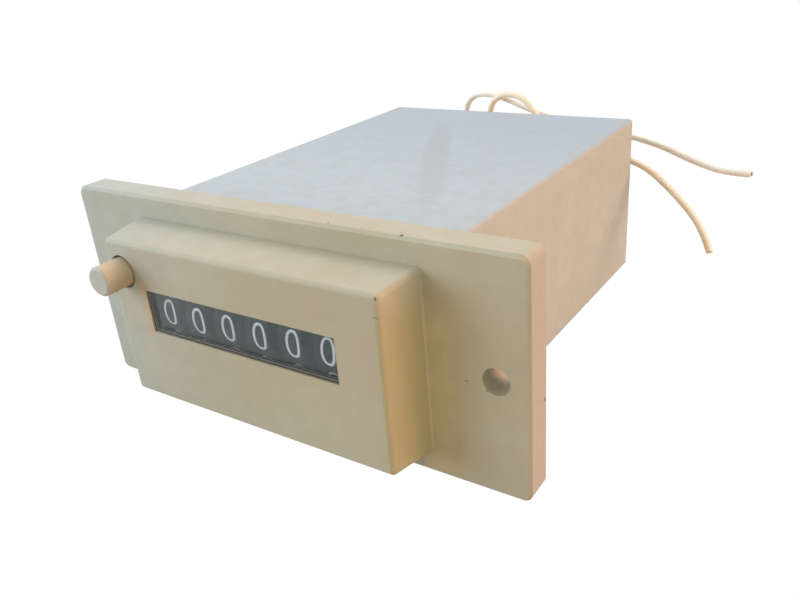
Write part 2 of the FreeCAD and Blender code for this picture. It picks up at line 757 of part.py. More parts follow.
def side_plate(label, sign):
    """Stamped plate with the shaft holes, a foot bent outwards and a rear tab bent inwards."""
    body = new_body(label)
    left, right = sides("plate_inner", "plate_outer")[sign > 0]
    outline = [("plate_front", "-plate_half_height"), ("plate_shoulder_front - plate_slope", "-plate_half_height"),
               ("plate_shoulder_front", "-plate_shoulder"), ("plate_shoulder_rear", "-plate_shoulder"),
               ("plate_shoulder_rear + plate_slope", "plate_tail_bottom"), ("plate_rear", "plate_tail_bottom"),
               ("plate_rear", "plate_tail_top"), ("plate_shoulder_rear + plate_slope", "plate_tail_top"),
               ("plate_shoulder_rear", "plate_shoulder"), ("plate_shoulder_front", "plate_shoulder"),
               ("plate_shoulder_front - plate_slope", "plate_half_height"), ("plate_front", "plate_half_height")]
    pad(body, "web", "YZ", left, right, [outline])
    foot_left, foot_right = sides("plate_inner", "foot_side")[sign > 0]
    pad(body, "foot", "XZ", "boss_proud", "foot_rear",
        [rect(foot_left, foot_right, "-boss_drop - foot_margin", "-boss_drop + foot_margin")])
    tab_left, tab_right = sides("tab_inner", "plate_outer")[sign > 0]
    pad(body, "rear_tab", "XZ", "tab_front", "plate_rear",
        [rect(tab_left, tab_right, "-tab_drop - tab_height / 2", "-tab_drop + tab_height / 2")])
    if sign < 0:
        pad(body, "spring_tab", "XZ", "spring_tab_front", "spring_tab_rear",
            [rect(foot_left, foot_right, "button_rise - spring_tab_half", "button_rise + spring_tab_half")])
        way = "stem_radius + spring_slot_gap"
        pocket(body, "stem_way", "XZ", "spring_tab_front - overrun", "spring_tab_rear + overrun",
               [rect("-foot_side - overrun", "-button_offset + " + way,
                     "button_rise - (%s)" % way, "button_rise + (%s)" % way)])
    slots = [upright_rect(depth, rise, "bar_thickness + 2 * tenon_gap", "tenon_height + 2 * tenon_gap")
             for depth, rise in TENONS]
    pocket(body, "shaft_holes", "YZ", "%s - overrun" % left, "%s + overrun" % right,
           [bore("wheel_depth", "wheel_rise", "wheel_shaft_radius + running_gap"),
            bore("pinion_depth", "pinion_rise", "pinion_shaft_radius + running_gap"),
            bore("reset_depth", "reset_rise", "reset_shaft_radius + running_gap")] + slots)
    side = "" if sign > 0 else "-"
    pocket(body, "foot_hole", "XZ", "boss_proud - overrun", "foot_rear + overrun",
           [bore(side + "foot_screw", "-boss_drop", "thread_hole")])
    pocket(body, "rear_hole", "XZ", "tab_front - overrun", "plate_rear + overrun",
           [bore(side + "tab_screw", "-tab_drop", "thread_hole")])
    return body


def small_screw(head, across, depth, rise):
    """A screw with its seat at the place and its shank towards -Y."""
    body = new_body("screw")
    pad(body, "head", "XZ", "0", "screw_head_height", [head])
    pad(body, "shank", "XZ", "-screw_length", "0",
        [bore("0", "0", "thread_radius * cos(180deg / %d)" % BORE_SIDES)])
    place(body, across, depth, rise)
    return body


def bezel_screws():
    head = polygon("0", "0", "screw_head_radius", 6, "180 / 6")
    return group("bezel_screws", [small_screw(head, side + "foot_screw", "foot_rear", "-boss_drop")
                                  for side in ("-", "")])


def housing_screws():
    """Slotted cylinder heads, sunk in the housing's rear wall."""
    seat = "housing_depth - counterbore_depth"
    screws = [small_screw(disc("0", "0", "screw_head_radius"), side + "tab_screw", seat, "-tab_drop")
              for side in ("-", "")]
    for screw in screws:
        pocket(screw, "slot", "XZ", "screw_head_height - slot_depth", "screw_head_height + overrun",
               [centred("2 * screw_head_radius + overrun", "slot_width")])
    return group("housing_screws", screws)


def frame_crossbars():
    """Flat bars that hold the side plates apart. The upper one is also the armature's stop."""
    bars = []
    for depth, rise in BARS:
        body = new_body("bar")
        pad(body, "bar", "YZ", "-plate_inner", "plate_inner",
            [upright_rect("0", "0", "bar_thickness", "bar_height")])
        pad(body, "tenons", "YZ", "-plate_outer", "plate_outer",
            [upright_rect("0", "0", "bar_thickness", "tenon_height")])
        place(body, "0", depth, rise)
        bars.append(body)
    return group("frame_crossbars", bars)


def reset_button():
    """Push button with a stop collar, a stem and a tail whose slot takes the reset lever."""
    body = new_body("reset_button")
    pad(body, "cap", "XZ", "button_front", "collar_front",
        [disc("-button_offset", "button_rise", "button_radius")])
    bevel_edges(body, "cap_edge", "button_end_edge", lambda edge: all_at_depth(edge, value("button_front")))
    pad(body, "collar", "XZ", "collar_front", "collar_rear",
        [rect("collar_left", "collar_right", "button_rise - collar_half_height", "button_rise + collar_half_height")])
    pad(body, "stem", "XZ", "collar_rear", "tail_front + overrun",
        [disc("-button_offset", "button_rise", "stem_radius")])
    left, right = "-button_offset - tail_thickness / 2", "-button_offset + tail_thickness / 2"
    pad(body, "tail", "YZ", left, right,
        [rect("tail_front", "tail_rear", "foot_floor", "button_rise + stem_radius")])
    pad(body, "tail_foot", "YZ", left, right, [rect("tail_front", "foot_back", "foot_floor", "foot_top")])
    pocket(body, "lever_slot", "YZ", "%s - overrun" % left, "%s + overrun" % right,
           [rect("lever_end_depth - slot_half", "lever_end_depth + slot_half", "slot_floor", "foot_top + overrun")])
    return body


def button_spring():
    """Compression spring between the button's collar and the left plate's spring tab, as a sleeve."""
    body = new_body("button_spring")
    pad(body, "turns", "XZ", "collar_rear + spring_end_gap", "spring_tab_front - spring_end_gap",
        [bore("-button_offset", "button_rise", "spring_outer"),
         bore("-button_offset", "button_rise", "spring_inner")])
    return body


def armature_spring():
    """Tension spring from the lower crossbar to the armature's lug, as its outer shape."""
    body = new_body("armature_spring")
    pad(body, "turns", "XY", "-lower_bar_drop + bar_height / 2 + spring_end_gap", "arm_low - spring_end_gap",
        [bore("arm_left - lug_reach / 2", "lower_bar_depth", "armature_spring_radius")])
    return body


def reset_lever():
    """Turns the reset shaft when the button's tail carries its round end rearwards."""
    body = new_body("reset_lever")
    left, right = "-button_offset - tail_thickness / 2", "-button_offset + tail_thickness / 2"
    lean = "comb_swing / 2"
    pad(body, "hub", "YZ", left, right, [polygon("reset_depth", "reset_rise", "lever_hub_radius", 8, lean)])
    hub = ("reset_depth", "reset_rise")
    end = ("lever_end_depth", "lever_end_rise")
    arm = [polar("lever_width / 2", lean_side + lean, *centre)
           for centre, lean_side in ((hub, "180 - "), (end, "180 - "), (end, "-"), (hub, "-"))]
    pad(body, "arm", "YZ", left, right, [arm])
    pad(body, "end", "YZ", left, right, [bore(*end, "lever_end_radius")])
    pocket(body, "bore", "YZ", "%s - overrun" % left, "%s + overrun" % right,
           [bore(*hub, "reset_shaft_radius + running_gap")])
    return body


def reset_comb():
    """Tube on the reset shaft with one hammer over each wheel's heart cam."""
    body = new_body("reset_comb")
    pad(body, "tube", "YZ", "-plate_inner + comb_end_gap", "plate_inner - comb_end_gap",
        [polygon("0", "0", "comb_hub_radius", 8)])
    tip_front, tip_rear = "hammer_y - hammer_depth / 2", "hammer_y + hammer_depth / 2"
    blade = [("0", "hammer_overhang"), ("0", "-hammer_overhang"), (tip_rear, "hammer_z"),
             (tip_front, "hammer_z"), (tip_front, "hammer_overhang")]
    middle = "hammer_centre - units_offset"
    hammer = pad(body, "hammer", "YZ", middle + " - hammer_thickness / 2", middle + " + hammer_thickness / 2",
                 [blade])
    row = body.newObject("PartDesign::LinearPattern", "hammers")
    row.Originals = [hammer]
    row.Direction = (origin_feature(body, "X_Axis"), [""])
    row.setExpression("Length", bind("(wheel_count - 1) * wheel_pitch"))
    row.setExpression("Occurrences", bind("wheel_count"))
    body.Tip = row
    pocket(body, "bore", "YZ", "-plate_inner", "plate_inner",
           [bore("0", "0", "reset_shaft_radius + running_gap")])
    place(body, "0", "reset_depth", "reset_rise")
    return body


COIL_SIDES = 24


def round_coil(radius):
    """A many-sided ring round the coil's middle."""
    return polygon("coil_offset", "coil_rise", radius, COIL_SIDES)


def coil_bobbin():
    """Moulded spool with a terminal block on its rear flange."""
    body = new_body("coil_bobbin")
    pad(body, "tube", "XZ", "bobbin_front", "bobbin_rear", [round_coil("tube_outer")])
    for name, low, high in (("front_flange", "bobbin_front", "bobbin_front + bobbin_flange"),
                            ("rear_flange", "bobbin_rear - bobbin_flange", "bobbin_rear")):
        pad(body, name, "XZ", low, high,
            [upright_rect("coil_offset", "coil_rise", "2 * bobbin_half", "2 * bobbin_half")])
    middle = "coil_offset - bobbin_half"
    pad(body, "terminal_block", "XZ", "bobbin_rear - block_depth", "bobbin_rear",
        [rect(middle + " - block_size / 2", middle + " + block_size / 2", "coil_rise", "coil_rise + block_size")])
    pocket(body, "bore", "XZ", "bobbin_front - overrun", "bobbin_rear + overrun",
           [round_coil("tube_inner")])
    return body


def coil_winding():
    """Wire under a wrap of tape, as one ring."""
    body = new_body("coil_winding")
    pad(body, "ring", "XZ", "bobbin_front + bobbin_flange + bobbin_gap", "bobbin_rear - block_depth - bobbin_gap",
        [round_coil("winding_radius"), round_coil("tube_outer + bobbin_gap")])
    return body


TERMINALS = tuple("coil_offset - bobbin_half %s block_size / 4" % sign for sign in "-+")


def terminal_pins():
    pins = []
    for across in TERMINALS:
        body = new_body("pin")
        pad(body, "pin", "XZ", "bobbin_rear", "bobbin_rear + pin_length",
            [upright_rect(across, "coil_rise + block_size / 2", "pin_width", "pin_width")])
        pins.append(body)
    return group("terminal_pins", pins)


def magnet_core():
    """Iron core, which stands on the yoke's upright."""
    body = new_body("magnet_core")
    pad(body, "core", "XZ", "core_front", "yoke_inside", [round_coil("core_radius")])
    return body


def magnet_yoke():
    """Bent iron yoke: base under the coil, upright behind it, wings to the plates, ears for the hinge pin."""
    body = new_body("magnet_yoke")
    pad(body, "base", "XZ", "yoke_front", "yoke_rear",
        [rect("yoke_left", "yoke_right", "yoke_bottom", "yoke_floor")])
    pad(body, "upright", "XZ", "yoke_inside", "yoke_rear",
        [rect("yoke_left", "yoke_right", "yoke_bottom", "yoke_top")])
    wing_low, wing_high = "-tab_drop - wing_height / 2", "-tab_drop + wing_height / 2"
    pad(body, "wings", "XZ", "yoke_inside", "yoke_rear",
        [rect("-plate_inner", "plate_inner", wing_low, wing_high)])
    pad(body, "wing_tenons", "XZ", "yoke_inside", "yoke_rear",
        [rect("-plate_outer", "plate_outer", "-tab_drop - tenon_height / 2", "-tab_drop + tenon_height / 2")])
    bevel = "ear_radius / 2"
    ear = [("hinge_depth - " + bevel, "hinge_rise - ear_radius"), ("yoke_front + overrun", "hinge_rise - ear_radius"),
           ("yoke_front + overrun", "hinge_rise + ear_radius"), ("hinge_depth - " + bevel, "hinge_rise + ear_radius"),
           ("hinge_depth - ear_radius", "hinge_rise + " + bevel), ("hinge_depth - ear_radius", "hinge_rise - " + bevel)]
    for low, high in (("yoke_left", "yoke_left + ear_thickness"), ("yoke_right - ear_thickness", "yoke_right")):
        pad(body, "ear", "YZ", low, high, [ear])
    pocket(body, "hinge_holes", "YZ", "yoke_left - overrun", "yoke_right + overrun",
           [bore("hinge_depth", "hinge_rise", "hinge_pin_radius + running_gap")])
    return body


def armature_pivot_pin():
    body = new_body("armature_pivot_pin")
    pad(body, "pin", "YZ", "yoke_left - ear_gap", "yoke_right + ear_gap",
        [disc("hinge_depth", "hinge_rise", "hinge_pin_radius")])
    return body


def armature():
    """Hinged iron plate in front of the core, with an arm and a two-pallet claw round the star wheel."""
    body = new_body("armature")
    left, right = "yoke_left + ear_thickness + ear_gap", "yoke_right - ear_thickness - ear_gap"
    pad(body, "knuckle", "YZ", left, right, [bore("hinge_depth", "hinge_rise", "knuckle_radius")])
    pad(body, "plate", "XZ", "armature_front", "armature_rear",
        [rect(left, right, "hinge_rise", "armature_top")])
    pad(body, "bridge", "XZ", "armature_front", "armature_rear",
        [rect(right + " - overrun", "arm_right", "arm_low", "arm_high")])
    pad(body, "arm", "YZ", "arm_left", "arm_right",
        [rect("claw_front", "armature_rear", "arm_low", "arm_high")])
    claw = [("claw_depth", "arm_low"), ("claw_front", "lower_pallet_z - pallet_thickness / 2"),
            ("lower_pallet_y", "lower_pallet_z - pallet_thickness"), ("lower_pallet_y", "lower_pallet_z"),
            ("claw_front", "lower_pallet_z + claw_back / 2"), ("claw_front", "upper_pallet_z - claw_back / 2"),
            ("upper_pallet_y", "upper_pallet_z"), ("upper_pallet_y", "upper_pallet_z + pallet_thickness"),
            ("claw_front", "upper_pallet_z + pallet_thickness"), ("claw_depth", "arm_high")]
    pad(body, "claw", "YZ", "arm_left", "arm_right", [claw])
    pad(body, "spring_lug", "XY", "arm_low", "arm_low + lug_thickness",
        [rect("arm_left - lug_reach", "arm_left + arm_gap", "lower_bar_depth - lug_width / 2",
              "lower_bar_depth + lug_width / 2")])
    pocket(body, "hinge_bore", "YZ", left + " - overrun", right + " + overrun",
           [bore("hinge_depth", "hinge_rise", "hinge_pin_radius + running_gap")])
    return body


LEADS = tuple("grommet_offset %s lead_spacing / 2" % sign for sign in "-+")


def lead_grommet():
    """Soft bush in the rear wall with a hole for each lead."""
    body = new_body("lead_grommet")
    middle = ("grommet_offset", "grommet_rise")
    lip = "grommet_hole_radius + grommet_lip"
    pad(body, "barrel", "XZ", "housing_inside", "housing_depth",
        [polygon(*middle, "grommet_hole_radius - grommet_gap", COIL_SIDES)])
    pad(body, "lip", "XZ", "housing_depth", "grommet_back", [disc(*middle, lip)])
    bevel_edges(body, "lip_edge", "grommet_lip_edge", lambda edge: all_at_depth(edge, value("grommet_back")))
    pocket(body, "lead_ways", "XZ", "housing_inside - overrun", "grommet_back + overrun",
           [polygon(across, "grommet_rise", "lead_radius + grommet_gap", 8) for across in LEADS])
    return body


def number_of(text):
    """The value of an expression in the sheets' words."""
    return float(sizes.evalExpression(bind(text)))


BEND_SHARE = 0.45


LEAD_SIDES = 6


def lead_tube(points, name):
    """A six-sided tube along straight runs joined by tangent arcs, as wide as its runs allow."""
    edges, start, length = [], points[0], 0.0
    radii = []
    for before, corner, after in zip(points, points[1:], points[2:]):
        into, out = (corner - before), (after - corner)
        turn = into.getAngle(out)
        cut = BEND_SHARE * min(into.Length, out.Length)
        radii.append(cut / math.tan(turn / 2))
        first = corner - V(into).normalize() * cut
        last = corner + V(out).normalize() * cut
        inward = (V(out).normalize() - V(into).normalize()).normalize()
        centre = corner + inward * (radii[-1] / math.cos(turn / 2))
        middle = centre - inward * radii[-1]
        edges.append(Part.LineSegment(start, first).toShape())
        edges.append(Part.Arc(first, middle, last).toShape())
        start = last
    edges.append(Part.LineSegment(start, points[-1]).toShape())
    path = Part.Wire(edges)
    turn = FreeCAD.Rotation(V(0, 1, 0), points[1] - points[0])
    ring = [2 * math.pi * step / LEAD_SIDES for step in range(LEAD_SIDES + 1)]
    radius = value("lead_radius")
    section = Part.makePolygon([points[0] + turn.multVec(V(math.cos(a), 0, math.sin(a)) * radius) for a in ring])
    tube = path.makePipeShell([section], True, False)
    expected = LEAD_SIDES / 2 * radius ** 2 * math.sin(2 * math.pi / LEAD_SIDES) * path.Length
    print("%s: length %.1f, radii %s, volume share %.4f"
          % (name, path.Length, " ".join("%.1f" % radius for radius in radii), tube.Volume / expected))
    return tube


def shape_object(label, shape):
    thing = doc.addObject("Part::Feature", label)
    thing.Label = label
    thing.Shape = shape
    thing.Placement = FreeCAD.Placement()
    return thing


def inner_leads():
    """The stretch of each lead between its terminal pin and the grommet's outer face."""
    tubes = []
    pin_end = number_of("bobbin_rear + pin_length + pin_gap")
    pin_rise = number_of("coil_rise + block_size / 2")
    run = value("inner_lead_run")
    for terminal, across in zip(TERMINALS, LEADS):
        start, end = number_of(terminal), number_of(across)
        points = [V(start, pin_end, pin_rise), V(start, pin_end + run, pin_rise),
                  V(end, value("housing_inside") - run / 2, value("grommet_rise")),
                  V(end, value("grommet_back"), value("grommet_rise"))]
        tubes.append(lead_tube(points, "inner lead"))
    return shape_object("inner_leads", Part.makeCompound(tubes))


# Routes of the free leads, from the grommet's outer face to their bare ends, chosen by hand.
UPPER_ROUTE = ((-9.8, 63.1, 4.0), (-9.8, 66.0, 4.0), (-10.4, 68.6, 5.2), (-11.6, 70.0, 7.2), (-12.6, 70.2, 9.8),
               (-12.3, 69.9, 12.6), (-10.4, 69.6, 14.6), (-7.4, 69.4, 15.0), (-3.4, 69.2, 14.3), (1.6, 69.1, 12.4),
               (7.2, 69.0, 10.9), (13.4, 68.6, 9.7), (20.5, 67.6, 9.2), (27.5, 66.4, 8.0), (34.2, 64.6, 5.9),
               (39.4, 62.8, 5.2), (43.4, 61.4, 5.7))
LOWER_ROUTE = ((-7.2, 63.1, 4.0), (-7.2, 65.9, 4.0), (-7.2, 68.0, 5.9), (-6.9, 68.4, 9.0), (-6.2, 68.0, 12.0),
               (-4.9, 67.5, 14.4), (-2.2, 67.1, 15.6), (0.9, 67.0, 15.2), (3.4, 66.9, 13.0), (5.0, 66.9, 10.0),
               (7.6, 66.9, 7.2), (12.4, 66.8, 5.8), (19.4, 66.0, 5.8), (25.8, 63.8, 4.9), (31.0, 60.6, 2.4),
               (35.4, 57.0, 0.2), (38.6, 53.8, -2.0), (40.2, 52.2, -4.7))


def free_lead(label, route):
    return shape_object(label, lead_tube([V(*point) for point in route], label))


plate_end, lever_end = "-shaft_side", "-button_offset - tail_thickness / 2"
sub_parts = [front_bezel(), rear_housing(), window_lens()]
sub_parts += [number_wheel(order) for order in range(SIZES["wheel_count"])]
sub_parts += [star_wheel()]
sub_parts += [transfer_pinion(order) for order in range(1, SIZES["wheel_count"])]
sub_parts += [shaft("wheel_shaft", "wheel_shaft_radius", "wheel_depth", "wheel_rise", plate_end),
              shaft("pinion_shaft", "pinion_shaft_radius", "pinion_depth", "pinion_rise", plate_end),
              shaft("reset_shaft", "reset_shaft_radius", "reset_depth", "reset_rise", lever_end),
              shaft_clips(), spacer_washer()]
sub_parts += [side_plate("left_side_plate", -1), side_plate("right_side_plate", 1)]
sub_parts += [frame_crossbars(), bezel_screws(), housing_screws()]
sub_parts += [reset_button(), button_spring(), reset_lever(), reset_comb()]
sub_parts += [coil_bobbin(), coil_winding(), terminal_pins(), magnet_core(), magnet_yoke()]
sub_parts += [armature_pivot_pin(), armature(), armature_spring()]
sub_parts += [lead_grommet(), inner_leads()]
sub_parts += [free_lead("upper_lead", UPPER_ROUTE), free_lead("lower_lead", LOWER_ROUTE)]

doc.recompute()
for thing in doc.Objects:
    if "Invalid" in thing.State or "Error" in thing.State:
        raise RuntimeError("%s failed: %s" % (thing.Label, thing.State))
os.makedirs("parts", exist_ok=True)
for thing in sub_parts:
    if thing.Shape.isNull() or not thing.Shape.isValid():
        raise RuntimeError("%s has no valid shape" % thing.Label)
for thing in sub_parts:
    thing.Shape.exportStep("parts/%s.step" % thing.Label)
    print("%-34s solids %d, volume %.2f" % (thing.Label, len(thing.Shape.Solids), thing.Shape.Volume))
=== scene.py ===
import math

import bpy
from mathutils import Matrix, Vector


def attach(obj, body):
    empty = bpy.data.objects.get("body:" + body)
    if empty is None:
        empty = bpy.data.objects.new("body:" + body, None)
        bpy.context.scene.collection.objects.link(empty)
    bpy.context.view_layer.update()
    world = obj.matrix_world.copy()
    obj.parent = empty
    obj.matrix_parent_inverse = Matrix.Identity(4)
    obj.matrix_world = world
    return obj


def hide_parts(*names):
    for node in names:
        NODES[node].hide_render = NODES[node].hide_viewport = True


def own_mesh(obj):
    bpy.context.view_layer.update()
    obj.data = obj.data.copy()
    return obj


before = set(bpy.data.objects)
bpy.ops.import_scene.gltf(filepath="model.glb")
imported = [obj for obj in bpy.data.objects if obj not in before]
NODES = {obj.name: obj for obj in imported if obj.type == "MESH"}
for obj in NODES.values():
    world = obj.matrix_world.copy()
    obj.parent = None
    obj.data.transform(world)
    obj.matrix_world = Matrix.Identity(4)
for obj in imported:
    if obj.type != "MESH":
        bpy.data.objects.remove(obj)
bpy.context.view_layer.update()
MM = 0.001

# The photograph's camera: azimuth, elevation and roll in degrees, place in millimetres, and focal length
# and picture width in pixels.
CAMERA_ANGLES = (35.494, 25.044, -4.915)
CAMERA_PLACE = (65.048, -67.445, 43.922)
FOCAL_PIXELS = 774.129
PICTURE_WIDTH = 800
SENSOR_WIDTH = 36

# Sizes of the counter that the looks follow, in millimetres, with the flange's rear face at y 0.
# The wheels' axis and the floor's two edges are given as y and z.
LEAD_ROUND = 1.1
WHEEL_AXIS = (-2.0, 2.0)
RIM_RADIUS = 7.6
WHEEL_PITCH = 5.25
DIGIT_TALL = 3.72
DIGIT_SIDE = 0.45
DIGIT_WIDE = 2.1
DIGIT_STROKE = 0.37
PRINT_DEPTH = 0.02
BUTTON_END = -14.9
BUTTON_SPRING_FOOT = (-19.3, -1.3, 7.1)
ARMATURE_SPRING_FOOT = (13.85, 9.0, -7.1)
FLOOR_FRONT = (0.0, -15.1)
FLOOR_BACK = (61.5, -13.2)
FLOOR_HALF = 6000.0
FLOOR_COLOUR = (0.5, 0.38, 0.25)
WHEEL_BODIES = ("hundred_thousands_wheel", "ten_thousands_wheel", "thousands_wheel",
                "hundreds_wheel", "tens_wheel", "units_wheel")
# How far each wheel's print stands above the middle of the window.
PRINT_RISE = (0.04, -0.17, -0.07, 0.0, 0.2, 0.42)

# The leads' routes, from the grommet to the cut end.
UPPER_ROUTE = (
    (-9.8, 63.1, 4.0), (-9.8, 66.0, 4.0), (-10.4, 68.6, 5.2), (-11.6, 70.0, 7.2), (-12.6, 70.2, 9.8),
    (-12.3, 69.9, 12.6), (-10.4, 69.6, 14.6), (-7.4, 69.4, 15.0), (-3.4, 69.2, 14.3), (1.6, 69.1, 12.4),
    (7.2, 69.0, 10.9), (13.4, 68.6, 9.7), (20.5, 67.6, 9.2), (27.5, 66.4, 8.0), (34.2, 64.6, 5.9),
    (39.4, 62.8, 5.2), (43.4, 61.4, 5.7),
)
LOWER_ROUTE = (
    (-7.2, 63.1, 4.0), (-7.2, 65.9, 4.0), (-7.2, 68.0, 5.9), (-6.9, 68.4, 9.0), (-6.2, 68.0, 12.0),
    (-4.9, 67.5, 14.4), (-2.2, 67.1, 15.6), (0.9, 67.0, 15.2), (3.4, 66.9, 13.0), (5.0, 66.9, 10.0),
    (7.6, 66.9, 7.2), (12.4, 66.8, 5.8), (19.4, 66.0, 5.8), (25.8, 63.8, 4.9), (31.0, 60.6, 2.4),
    (35.4, 57.0, 0.2), (38.6, 53.8, -2.0), (40.2, 52.2, -4.7),
)

# Small marks on the plastics, and a streak of painted shade on the housing: place, size, turn in degrees,
# stretch and strength.
BEZEL_MARKS = (
    ((21.71, -11.0, 11.04), 0.24, (0, 0, 0), (1, 1, 1.4), 0.9),
    ((21.64, -11.0, 8.76), 0.11, (0, 8, 0), (6.5, 2, 1), 0.45),
    ((10.22, -3.3, 15.1), 0.2, (0, 0, 0), (1, 1, 1), 0.85),
    ((20.41, -3.5, 15.1), 0.26, (0, 0, 0), (1.2, 1, 1), 0.95),
    ((27.83, -4.0, -0.82), 0.12, (0, 0, 0), (2.4, 1, 1), 0.6),
    ((30.35, -4.0, -1.41), 0.15, (0, 0, 0), (1, 1, 1), 0.7),
    ((33.2, -4.0, 1.7), 0.1, (0, 50, 0), (3, 1, 1), 0.3),
    ((35.5, -0.4, -3.09), 0.22, (0, 0, 0), (1, 1.4, 1), 0.9),
)
# A faint streak of painted shade across the housing's top.
HOUSING_SHADE_STREAK = (((3.7, 31.2, 13.2), 2.6, (0, 0, 28), (1, 11, 1), 0.15),)

# Painted light and shade on the plastics: the colour, and the axes along which it grows from none to full.
# Painted cool light, growing towards the bezel's left end.
PAINTED_COOL_LIGHT_AT_LEFT = ((0.45, 0.513, 0.483), (("X", 4, -36),))
# Painted cooler, dimmer light on the flange's right edge.
PAINTED_COOL_LIGHT_RIGHT_EDGE = ((0.41, 0.405, 0.35), (("X", 34.9, 35.4),))
# Painted warm bounce light from the box's side, on the flange's front beside the box.
PAINTED_BOUNCE_LIGHT_BESIDE_BOX = ((0.62, 0.56, 0.36), (("X", 29.5, 25.0), ("X", 21.0, 21.8), ("Y", -4.6, -4.3), ("Y", 0.5, 0.0),
                                   ("Z", 10, 5)))
# Painted shade, yellowed by warm bounce light, on the lower part of the box's right side.
PAINTED_SHADE_ON_BOX_SIDE = ((0.475, 0.43, 0.245), (("X", 21.1, 21.5), ("Y", -4.1, -4.8), ("Z", 11, 5)))
# Painted warm light on a band just left of the window.
PAINTED_WARM_LIGHT_LEFT_OF_WINDOW = ((0.53, 0.46, 0.345), (("X", -17.0, -16.4), ("X", -14.8, -15.2), ("Z", 7.0, 5.5),
                                        ("Z", -2.4, -1.0), ("Y", -10.2, -10.9)))
# Painted cool sky light on the housing's top, bluer towards the rear.
PAINTED_SKY_LIGHT_ON_TOP = ((0.425, 0.525, 0.57), (("Z", 12.7, 13.1),))
PAINTED_SKY_LIGHT_ON_TOP_REAR = ((0.348, 0.45, 0.525), (("Y", 10, 56), ("Z", 12.7, 13.1)))
# Painted cool shade on the button's end face.
PAINTED_SHADE_ON_BUTTON_FACE = ((0.48, 0.535, 0.51), (("Y", BUTTON_END + 0.5, BUTTON_END + 0.1),))
# Painted shadow lines, dark and opaque, along the window's lower and left edges.
SHADOW_LINE_BELOW = (("Z", -0.4, -0.62),)
SHADOW_LINE_AT_LEFT = (("X", -15.05, -15.25),)

# The white room as it is seen and as it lights the counter: colour and strength.
ROOM_SEEN = ((1.0, 1.0, 1.0), 1.0)
ROOM_LIGHT = ((1.0, 1.0, 0.88), 0.57)
# Round soft lamps: name, place, aim and size in metres, power in watts, and colour.
LAMPS = (
    ("warm_window", (0.56, 0.22, 0.24), (0, 0.02, 0), 0.3, 2.74, (1.0, 0.5, 0.38)),
    ("warm_low", (0.6, 0.0, 0.02), (0, 0.02, 0), 0.3, 1.0, (1.0, 0.68, 0.38)),
    ("cool_sky", (-0.2, 0.25, 0.6), (0, 0.02, 0), 0.55, 1.96, (0.88, 0.88, 1.0)),
    ("cool_fill", (-0.5, -0.4, 0.2), (0, 0, 0), 0.5, 2.8, (0.88, 0.88, 1.0)),
)


def add_object(name, data):
    made = bpy.data.objects.new(name, data)
    bpy.context.scene.collection.objects.link(made)
    return made


def aim_camera():
    """The camera that matches the photograph's straight edges."""
    azimuth, elevation, roll = (math.radians(a) for a in CAMERA_ANGLES)
    back = Vector((math.sin(azimuth) * math.cos(elevation),
                   -math.cos(azimuth) * math.cos(elevation), math.sin(elevation)))
    right = (-back).cross(Vector((0, 0, 1))).normalized()
    up = right.cross(-back)
    right, up = (math.cos(roll) * right + math.sin(roll) * up,
                 -math.sin(roll) * right + math.cos(roll) * up)
    lens = bpy.data.cameras.new("photo_camera")
    lens.sensor_width = SENSOR_WIDTH
    lens.lens = FOCAL_PIXELS / PICTURE_WIDTH * SENSOR_WIDTH
    lens.clip_start, lens.clip_end = 0.002, 20
    camera = add_object("photo_camera", lens)
    turn = Matrix((right, up, back)).transposed().to_4x4()
    camera.matrix_world = Matrix.Translation(Vector(CAMERA_PLACE) * MM) @ turn
    bpy.context.scene.camera = camera


def run_lead(name, route, finish):
    """A lead on one smooth spline through its route, replacing the plain tube of the same name."""
    curve = bpy.data.curves.new(name + "_wire", "CURVE")
    curve.dimensions = "3D"
    spline = curve.splines.new("NURBS")
    spline.points.add(len(route) - 1)
    for point, place in zip(spline.points, route):
        point.co = (*(c * MM for c in place), 1)
    spline.order_u = 3
    spline.use_endpoint_u = True
    spline.resolution_u = 12
    curve.bevel_depth = LEAD_ROUND / 2 * MM
    curve.bevel_resolution = 6
    curve.use_fill_caps = True
    curve.materials.append(finish)
    lead = add_object(name + "_wire", curve)
    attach(lead, "case")
    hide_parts(name)
    return lead


